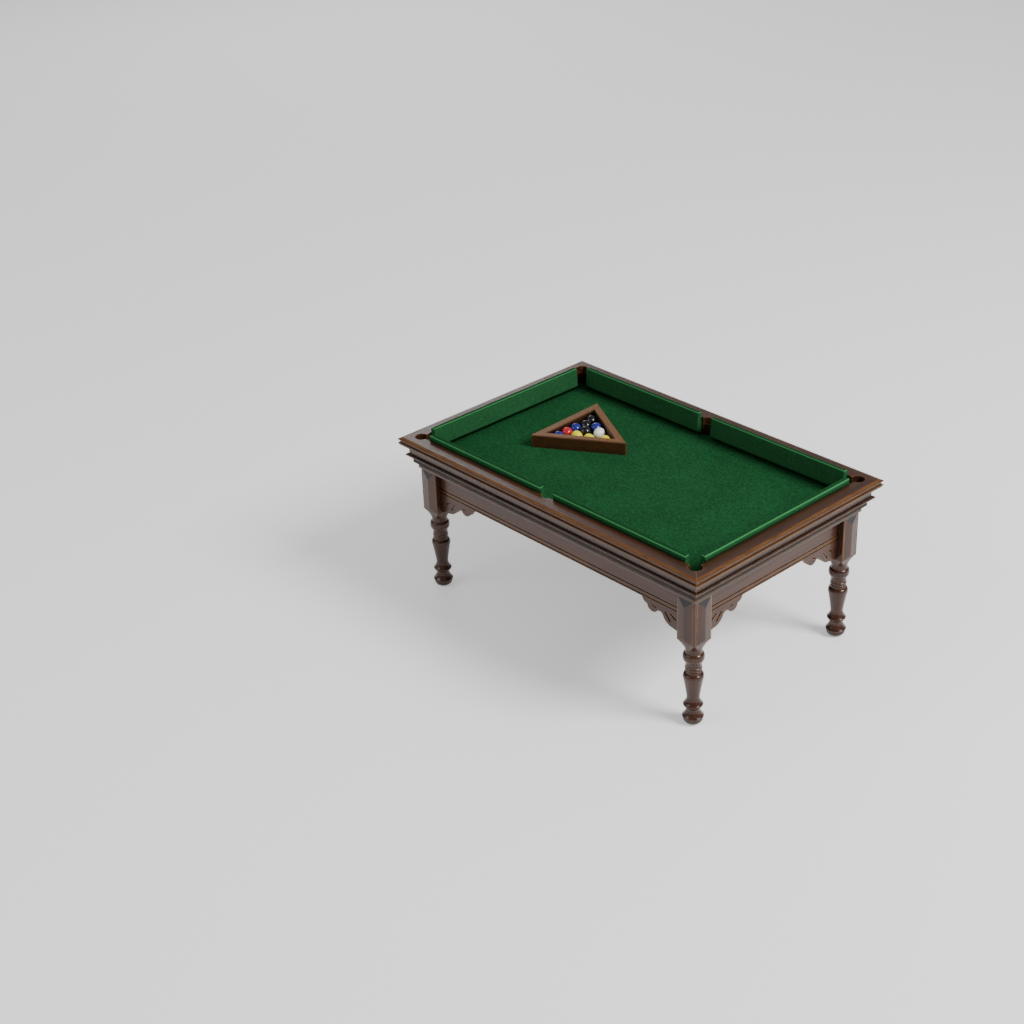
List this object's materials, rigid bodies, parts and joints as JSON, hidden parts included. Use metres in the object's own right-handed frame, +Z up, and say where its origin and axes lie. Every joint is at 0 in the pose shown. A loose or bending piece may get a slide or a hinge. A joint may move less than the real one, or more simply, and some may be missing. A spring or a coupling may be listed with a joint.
{
  "type": "miniature pool table",
  "caption": "Miniature pool table in dark turned wood with a green felt bed and cushions, round pockets, and a loose triangular rack of balls on the bed.",
  "frame": {"origin": "on the floor under the middle of the table's rails", "axes": "+X along the long rails, +Y across the table to the far long rail, +Z up"},
  "size_m": [0.2, 0.128, 0.088],
  "materials": {
    "apron_wood": "dark stained and lacquered",
    "bead_wood": "dark stained and lacquered",
    "bed_felt": "short napped felt",
    "black_ball": "polished",
    "blue_ball": "polished",
    "board_wood": "plain, stained at the edge",
    "core_wood": "plain",
    "cove_wood": "dark stained and lacquered",
    "cushion_felt": "short napped felt",
    "dowel_wood": "plain",
    "facing_wood": "dark stained and lacquered",
    "leg_wood": "dark stained and lacquered",
    "rack_wood": "dark stained and lacquered",
    "rail_wood": "dark stained and lacquered",
    "red_ball": "polished",
    "white_ball": "polished",
    "yellow_ball": "polished"
  },
  "bodies": {
    "table": {"apron_back": "apron_wood", "apron_bead_back": "bead_wood", "apron_bead_front": "bead_wood", "apron_bead_left": "bead_wood", "apron_bead_right": "bead_wood", "apron_front": "apron_wood", "apron_left": "apron_wood", "apron_right": "apron_wood", "bed_board": "board_wood", "bed_felt": "bed_felt", "cove_moulding_back": "cove_wood", "cove_moulding_front": "cove_wood", "cove_moulding_left": "cove_wood", "cove_moulding_right": "cove_wood", "cushion_core_back_left": "core_wood", "cushion_core_back_right": "core_wood", "cushion_core_front_left": "core_wood", "cushion_core_front_right": "core_wood", "cushion_core_left": "core_wood", "cushion_core_right": "core_wood", "cushion_felt_back_left": "cushion_felt", "cushion_felt_back_right": "cushion_felt", "cushion_felt_front_left": "cushion_felt", "cushion_felt_front_right": "cushion_felt", "cushion_felt_left": "cushion_felt", "cushion_felt_right": "cushion_felt", "facing_back_left_long_side": "facing_wood", "facing_back_left_short_side": "facing_wood", "facing_back_right_long_side": "facing_wood", "facing_back_right_short_side": "facing_wood", "facing_front_left_long_side": "facing_wood", "facing_front_left_short_side": "facing_wood", "facing_front_right_long_side": "facing_wood", "facing_front_right_short_side": "facing_wood", "leg_back_left": "leg_wood", "leg_back_right": "leg_wood", "leg_dowels": "dowel_wood", "leg_front_left": "leg_wood", "leg_front_right": "leg_wood", "rail_back": "rail_wood", "rail_front": "rail_wood", "rail_left": "rail_wood", "rail_right": "rail_wood"},
    "rack": {"rack_bar_front": "rack_wood", "rack_bar_left": "rack_wood", "rack_bar_right": "rack_wood"},
    "ball_black_back": {"ball_black_back": "black_ball"},
    "ball_black_front": {"ball_black_front": "black_ball"},
    "ball_black_middle": {"ball_black_middle": "black_ball"},
    "ball_blue_back": {"ball_blue_back": "blue_ball"},
    "ball_blue_front": {"ball_blue_front": "blue_ball"},
    "ball_blue_middle": {"ball_blue_middle": "blue_ball"},
    "ball_red": {"ball_red": "red_ball"},
    "ball_white": {"ball_white": "white_ball"},
    "ball_yellow_left": {"ball_yellow_left": "yellow_ball"},
    "ball_yellow_middle": {"ball_yellow_middle": "yellow_ball"},
    "ball_yellow_right": {"ball_yellow_right": "yellow_ball"}
  },
  "joints": [
    {"name": "rack_lift", "type": "slide", "parent": "table", "child": "rack", "axis": [0, 0, 1], "range_m": [0, 0.02]},
    {"name": "ball_black_back_lift", "type": "slide", "parent": "table", "child": "ball_black_back", "axis": [0, 0, 1], "range_m": [0, 0.02]},
    {"name": "ball_black_front_lift", "type": "slide", "parent": "table", "child": "ball_black_front", "axis": [0, 0, 1], "range_m": [0, 0.02]},
    {"name": "ball_black_middle_lift", "type": "slide", "parent": "table", "child": "ball_black_middle", "axis": [0, 0, 1], "range_m": [0, 0.02]},
    {"name": "ball_blue_back_lift", "type": "slide", "parent": "table", "child": "ball_blue_back", "axis": [0, 0, 1], "range_m": [0, 0.02]},
    {"name": "ball_blue_front_lift", "type": "slide", "parent": "table", "child": "ball_blue_front", "axis": [0, 0, 1], "range_m": [0, 0.02]},
    {"name": "ball_blue_middle_lift", "type": "slide", "parent": "table", "child": "ball_blue_middle", "axis": [0, 0, 1], "range_m": [0, 0.02]},
    {"name": "ball_red_lift", "type": "slide", "parent": "table", "child": "ball_red", "axis": [0, 0, 1], "range_m": [0, 0.02]},
    {"name": "ball_white_lift", "type": "slide", "parent": "table", "child": "ball_white", "axis": [0, 0, 1], "range_m": [0, 0.02]},
    {"name": "ball_yellow_left_lift", "type": "slide", "parent": "table", "child": "ball_yellow_left", "axis": [0, 0, 1], "range_m": [0, 0.02]},
    {"name": "ball_yellow_middle_lift", "type": "slide", "parent": "table", "child": "ball_yellow_middle", "axis": [0, 0, 1], "range_m": [0, 0.02]},
    {"name": "ball_yellow_right_lift", "type": "slide", "parent": "table", "child": "ball_yellow_right", "axis": [0, 0, 1], "range_m": [0, 0.02]}
  ]
}
